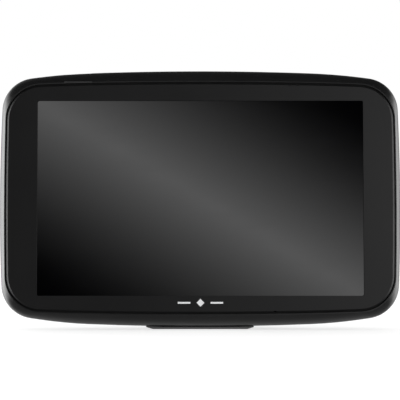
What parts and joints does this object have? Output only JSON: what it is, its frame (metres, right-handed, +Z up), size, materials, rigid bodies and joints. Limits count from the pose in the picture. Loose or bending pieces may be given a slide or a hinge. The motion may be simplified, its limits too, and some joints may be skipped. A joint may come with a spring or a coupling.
{
  "type": "portable gps navigator",
  "caption": "Portable satellite navigator: slim rounded housing with a wide touch display in a matte black panel, standing on the foot of a folding windscreen suction mount.",
  "frame": {"origin": "on the flat underside of the mount's foot, on which the navigator stands: on its centre line, 4.8 mm behind its front edge", "axes": "+X to the viewer's right, +Y away from the viewer through the device's depth, +Z up; the display faces -Y"},
  "size_m": [0.1618, 0.0366, 0.1046],
  "materials": {
    "frame_black": "satin black moulded frame",
    "bezel_black": "fine matte black panel",
    "shell_black": "fine-textured black",
    "touch_glass": "glossy, unlit",
    "gasket": "black adhesive foam",
    "cell": "dark unlit cell",
    "guide": "clear acrylic",
    "tray_steel": "stamped",
    "chassis": "cast mid-plate",
    "board_green": "solder-masked laminate",
    "shield_tin": "tinned can",
    "pad_grey": "soft thermal pad",
    "battery_wrap": "pouch wrap",
    "foam_black": "foam",
    "plug_white": "moulded",
    "ribbon_amber": "polyimide",
    "ceramic_tan": "patch antenna",
    "socket_steel": "plated",
    "switch_black": "moulded",
    "button_black": "satin",
    "pipe_grey": "smoked light guide, unlit",
    "label_grey": "blank type plate",
    "mark_grey": "printed",
    "speaker_steel": "can",
    "mesh_black": "woven, blackened",
    "screw_black": "blackened",
    "pin_steel": "ground",
    "mount_black": "fine-textured black",
    "bracket_black": "fine-textured, slightly lighter black",
    "ring_black": "satin black",
    "cup_rubber": "smooth dark"
  },
  "bodies": {
    "device": {"status_pipe": "pipe_grey", "label_plate": "label_grey", "front_frame": "frame_black", "front_bezel": "bezel_black", "rear_shell": "shell_black", "panel_gasket": "gasket", "edge_seal": "foam_black", "touch_panel": "touch_glass", "lcd_cell": "cell", "light_guide": "guide", "display_tray": "tray_steel", "chassis_plate": "chassis", "main_board": "board_green", "processor_shield": "shield_tin", "memory_shield": "shield_tin", "thermal_pad": "pad_grey", "battery": "battery_wrap", "battery_foam": "foam_black", "battery_plug": "plug_white", "display_ribbon": "ribbon_amber", "antenna_shelf": "plug_white", "gps_antenna": "ceramic_tan", "usb_socket": "socket_steel", "card_socket": "socket_steel", "power_switch": "switch_black", "mic_boot": "gasket", "microphone": "foam_black", "loudspeaker": "speaker_steel", "speaker_gasket": "foam_black", "speaker_mesh": "mesh_black", "front_mark": "mark_grey", "case_screws": "screw_black", "board_screws": "pin_steel", "bracket_screws": "screw_black", "mount_bracket": "bracket_black", "hinge_pin": "pin_steel", "hinge_washers": "plug_white"},
    "button": {"power_button": "button_black"},
    "mount": {"mount_arm": "mount_black", "ring_retainer": "mount_black", "head_screws": "screw_black"},
    "ring": {"lock_ring": "ring_black"},
    "cup": {"cup_stem": "mount_black", "stem_pin": "pin_steel", "suction_cup": "cup_rubber"}
  },
  "joints": [
    {"name": "power_button_press", "type": "slide", "parent": "device", "child": "button", "axis": [0, 0, -1], "range_m": [0, 0.0004], "stiffness_N_per_m": 900},
    {"name": "mount_fold", "type": "hinge", "parent": "device", "child": "mount", "pos_m": [0, 0.0142, 0.007], "axis": [-1, 0, 0], "range_deg": [0, 90]},
    {"name": "lock_ring_turn", "type": "hinge", "parent": "mount", "child": "ring", "pos_m": [0, 0.0152, 0.052], "axis": [0, 1, 0], "range_deg": [0, 60]},
    {"name": "cup_pull", "type": "slide", "parent": "mount", "child": "cup", "axis": [0, -1, 0], "range_m": [0, 0.0013]}
  ],
  "couplings": [
    {"joint": "cup_pull", "follows": "lock_ring_turn", "m_per_rad": 0.0011459}
  ]
}
